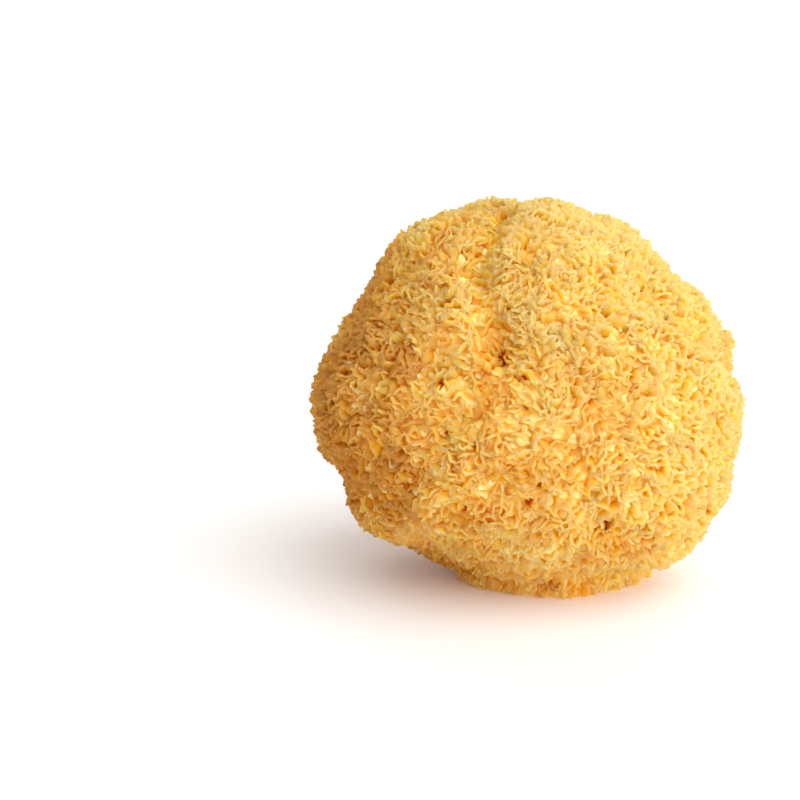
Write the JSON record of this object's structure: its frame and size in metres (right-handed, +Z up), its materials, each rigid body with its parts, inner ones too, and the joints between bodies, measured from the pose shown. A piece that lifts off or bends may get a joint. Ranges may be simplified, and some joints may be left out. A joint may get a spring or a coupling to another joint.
{
  "type": "dried snow fungus head",
  "caption": "Dried golden snow fungus: a rounded head of dense, thin, ruffled fronds grown together, cut off flat underneath so that it stands.",
  "frame": {"origin": "on the flat cut underneath, below the middle of the head's box", "axes": "+Z up from the cut, -Y to the side that the picture shows, +X to the right in it"},
  "size_m": [0.11, 0.106, 0.0975],
  "materials": {
    "dried_fungus": "matte, thin dried fronds, golden yellow with paler rims"
  },
  "bodies": {
    "root": {"fungus_head": "dried_fungus"}
  },
  "joints": []
}
